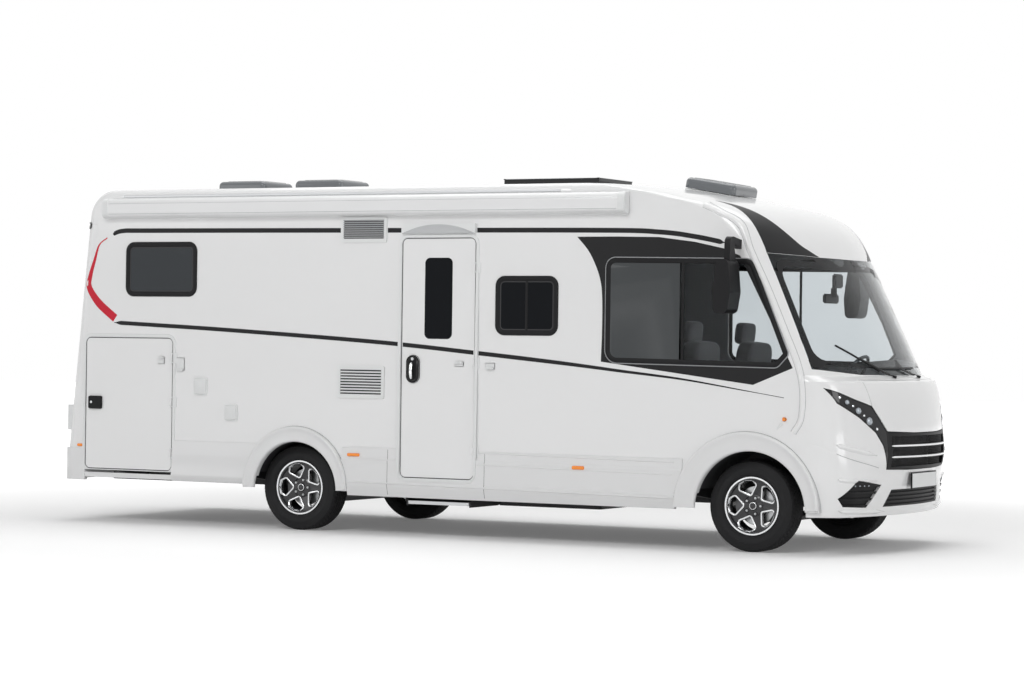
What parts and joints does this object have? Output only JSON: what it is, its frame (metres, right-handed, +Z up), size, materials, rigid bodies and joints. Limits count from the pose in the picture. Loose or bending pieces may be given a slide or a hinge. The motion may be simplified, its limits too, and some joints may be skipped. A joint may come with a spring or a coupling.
{
  "type": "motorhome",
  "caption": "Integrated motorhome with a curved front mask, hollow cab and living space, steered front wheels, side doors, bonnet, roof lids and a sliding step.",
  "frame": {"origin": "middle of the bounding box, on the ground under the tyres", "axes": "+X to the front, +Y to the vehicle's left, +Z up"},
  "size_m": [7.3721, 2.86, 2.925],
  "materials": {
    "body_white": "gloss white gelcoat",
    "skirt_white": "gloss white moulding",
    "white_plastic": "white plastic",
    "black_plastic": "grained black plastic",
    "glass": "lightly tinted safety glass",
    "dark_glass": "smoked acrylic",
    "smoke_acrylic": "smoked acrylic dome",
    "lamp_lens": "clear lens over dark housing",
    "solar_glass": "dark laminate",
    "chassis_black": "black chassis paint",
    "cast_metal": "bare casting",
    "alloy": "black alloy, turned faces",
    "tyre": "rubber",
    "awning_aluminium": "white powder coat",
    "step_aluminium": "brushed aluminium",
    "tank_plastic": "black polyethylene",
    "floor_board": "coated floor board",
    "dash_plastic": "soft grained plastic",
    "seat_fabric": "woven cloth"
  },
  "bodies": {
    "coach": {"chassis_frame": "chassis_black", "floor_panel": "floor_board", "side_wall_right": "body_white", "side_wall_left": "body_white", "rear_wall": "body_white", "roof_panel": "body_white", "front_mask": "body_white", "windscreen": "glass", "side_windows": "dark_glass", "front_bumper": "body_white", "grille": "black_plastic", "lamps": "lamp_lens", "side_skirts": "skirt_white", "rear_bumper": "skirt_white", "awning": "awning_aluminium", "mirrors": "black_plastic", "wipers": "black_plastic", "body_fittings": "white_plastic", "solar_panel": "solar_glass", "rear_axle": "cast_metal", "front_subframe": "chassis_black", "engine_block": "cast_metal", "underfloor_tanks": "tank_plastic", "dashboard": "dash_plastic", "cab_seats": "seat_fabric"},
    "wheel_rear_right": {"tyre_rear_right": "tyre", "rim_rear_right": "alloy"},
    "wheel_rear_left": {"tyre_rear_left": "tyre", "rim_rear_left": "alloy"},
    "wheel_front_right": {"tyre_front_right": "tyre", "rim_front_right": "alloy"},
    "wheel_front_left": {"tyre_front_left": "tyre", "rim_front_left": "alloy"},
    "steering_knuckle_right": {"knuckle_right": "cast_metal"},
    "steering_knuckle_left": {"knuckle_left": "cast_metal"},
    "steering_wheel_body": {"steering_wheel": "dash_plastic"},
    "door": {"entrance_door": "body_white", "door_window": "dark_glass"},
    "garage_flap_right": {"garage_door_right": "body_white"},
    "garage_flap_left": {"garage_door_left": "body_white"},
    "bonnet_lid": {"bonnet": "body_white"},
    "step": {"entry_step": "step_aluminium"},
    "hatch_rear": {"hatch_lid_rear": "white_plastic"},
    "hatch_middle": {"hatch_lid_middle": "white_plastic"},
    "skylight": {"skylight_lid": "smoke_acrylic"}
  },
  "joints": [
    {"name": "wheel_rear_right_roll", "type": "hinge", "parent": "coach", "child": "wheel_rear_right", "pos_m": [-1.375, -0.93, 0.35], "axis": [0, 1, 0], "continuous": true},
    {"name": "wheel_rear_left_roll", "type": "hinge", "parent": "coach", "child": "wheel_rear_left", "pos_m": [-1.375, 0.93, 0.35], "axis": [0, 1, 0], "continuous": true},
    {"name": "wheel_front_right_roll", "type": "hinge", "parent": "steering_knuckle_right", "child": "wheel_front_right", "pos_m": [2.66, -0.93, 0.35], "axis": [0, 1, 0], "continuous": true},
    {"name": "wheel_front_left_roll", "type": "hinge", "parent": "steering_knuckle_left", "child": "wheel_front_left", "pos_m": [2.66, 0.93, 0.35], "axis": [0, 1, 0], "continuous": true},
    {"name": "steer_right", "type": "hinge", "parent": "coach", "child": "steering_knuckle_right", "pos_m": [2.66, -0.87, 0.35], "axis": [0, 0, 1], "range_deg": [-35, 35]},
    {"name": "steer_left", "type": "hinge", "parent": "coach", "child": "steering_knuckle_left", "pos_m": [2.66, 0.87, 0.35], "axis": [0, 0, 1], "range_deg": [-35, 35]},
    {"name": "steering_wheel_turn", "type": "hinge", "parent": "coach", "child": "steering_wheel_body", "pos_m": [2.85, 0.52, 1.33], "axis": [-0.8192, 0, 0.5736], "range_deg": [-540, 540]},
    {"name": "entrance_door_hinge", "type": "hinge", "parent": "coach", "child": "door", "pos_m": [0.327, -1.183, 1.4], "axis": [0, 0, 1], "range_deg": [0, 165]},
    {"name": "garage_door_right_hinge", "type": "hinge", "parent": "coach", "child": "garage_flap_right", "pos_m": [-2.558, -1.183, 1], "axis": [0, 0, 1], "range_deg": [0, 165]},
    {"name": "garage_door_left_hinge", "type": "hinge", "parent": "coach", "child": "garage_flap_left", "pos_m": [-2.558, 1.183, 1], "axis": [0, 0, 1], "range_deg": [-165, 0]},
    {"name": "bonnet_hinge", "type": "hinge", "parent": "coach", "child": "bonnet_lid", "pos_m": [3.32, 0, 1.294], "axis": [0, -1, 0], "range_deg": [0, 60]},
    {"name": "step_slide", "type": "slide", "parent": "coach", "child": "step", "axis": [0, -1, 0], "range_m": [0, 0.25]},
    {"name": "hatch_rear_hinge", "type": "hinge", "parent": "coach", "child": "hatch_rear", "pos_m": [-2.764, 0, 2.848], "axis": [0, -1, 0], "range_deg": [0, 60]},
    {"name": "hatch_middle_hinge", "type": "hinge", "parent": "coach", "child": "hatch_middle", "pos_m": [-1.982, 0, 2.848], "axis": [0, -1, 0], "range_deg": [0, 60]},
    {"name": "skylight_hinge", "type": "hinge", "parent": "coach", "child": "skylight", "pos_m": [1.68765, 0, 2.82834], "axis": [0, -1, 0], "range_deg": [0, 50]}
  ],
  "couplings": [
    {"joint": "steer_left", "follows": "steer_right", "ratio": 1},
    {"joint": "steering_wheel_turn", "follows": "steer_right", "ratio": 15}
  ]
}
